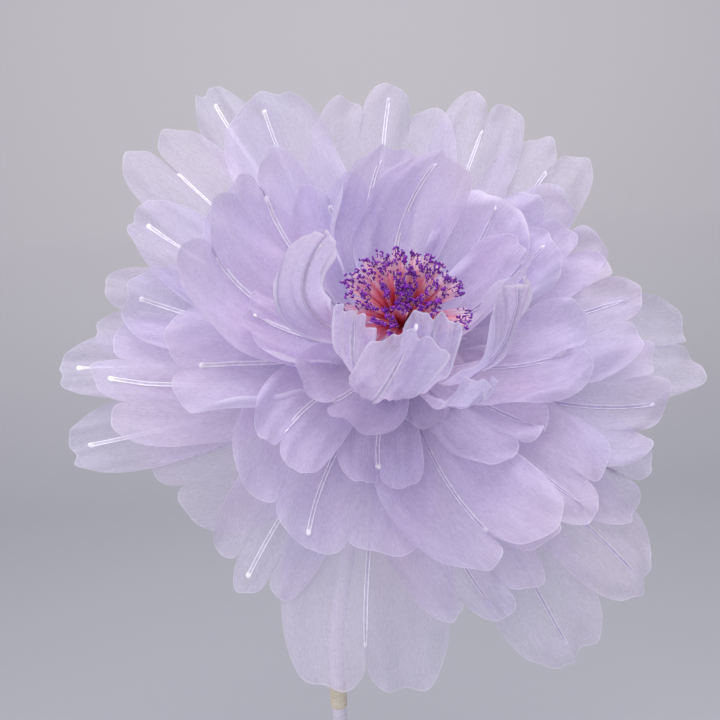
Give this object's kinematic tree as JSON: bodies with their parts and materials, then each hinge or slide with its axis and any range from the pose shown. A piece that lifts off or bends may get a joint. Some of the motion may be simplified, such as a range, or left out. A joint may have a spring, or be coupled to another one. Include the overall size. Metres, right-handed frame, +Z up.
{
  "type": "crepe paper peony",
  "caption": "Large free-standing paper peony: layered translucent petals with wire ribs and a fringed stamen tuft on a bent wrapped stem with a round steel foot.",
  "frame": {"origin": "middle of the underside of the round steel foot, on the floor", "axes": "+Z up along the straight lower stem, -Y towards the side that the flower faces, +X to the right when facing the flower"},
  "size_m": [0.7071, 0.4469, 1.3784],
  "materials": {
    "petal_paper": "translucent lilac crepe, matte",
    "stamen_paper": "matte pink crepe with purple tips",
    "stem_wrap": "matte pale lilac wrap",
    "cream_tape": "semi-matte cream tape",
    "white_steel": "satin white paint",
    "bright_steel": "plated"
  },
  "bodies": {
    "root": {"clamp_screw": "bright_steel", "cup_petal_1": "petal_paper", "cup_petal_2": "petal_paper", "cup_petal_3": "petal_paper", "cup_petal_4": "petal_paper", "cup_petal_5": "petal_paper", "cup_petal_6": "petal_paper", "cup_petal_7": "petal_paper", "foot_plate": "white_steel", "guard_petal_1": "petal_paper", "guard_petal_10": "petal_paper", "guard_petal_11": "petal_paper", "guard_petal_12": "petal_paper", "guard_petal_13": "petal_paper", "guard_petal_14": "petal_paper", "guard_petal_15": "petal_paper", "guard_petal_2": "petal_paper", "guard_petal_3": "petal_paper", "guard_petal_4": "petal_paper", "guard_petal_5": "petal_paper", "guard_petal_6": "petal_paper", "guard_petal_7": "petal_paper", "guard_petal_8": "petal_paper", "guard_petal_9": "petal_paper", "hub": "stem_wrap", "inner_petal_1": "petal_paper", "inner_petal_2": "petal_paper", "inner_petal_3": "petal_paper", "inner_petal_4": "petal_paper", "inner_petal_5": "petal_paper", "inner_petal_6": "petal_paper", "inner_petal_7": "petal_paper", "middle_petal_1": "petal_paper", "middle_petal_10": "petal_paper", "middle_petal_2": "petal_paper", "middle_petal_3": "petal_paper", "middle_petal_4": "petal_paper", "middle_petal_5": "petal_paper", "middle_petal_6": "petal_paper", "middle_petal_7": "petal_paper", "middle_petal_8": "petal_paper", "middle_petal_9": "petal_paper", "neck_wrap": "stem_wrap", "outer_petal_1": "petal_paper", "outer_petal_10": "petal_paper", "outer_petal_11": "petal_paper", "outer_petal_2": "petal_paper", "outer_petal_3": "petal_paper", "outer_petal_4": "petal_paper", "outer_petal_5": "petal_paper", "outer_petal_6": "petal_paper", "outer_petal_7": "petal_paper", "outer_petal_8": "petal_paper", "outer_petal_9": "petal_paper", "stamen_fringe_inner": "stamen_paper", "stamen_fringe_middle": "stamen_paper", "stamen_fringe_outer": "stamen_paper", "stem": "stem_wrap", "stem_socket": "white_steel", "stem_tape": "cream_tape"}
  },
  "joints": []
}
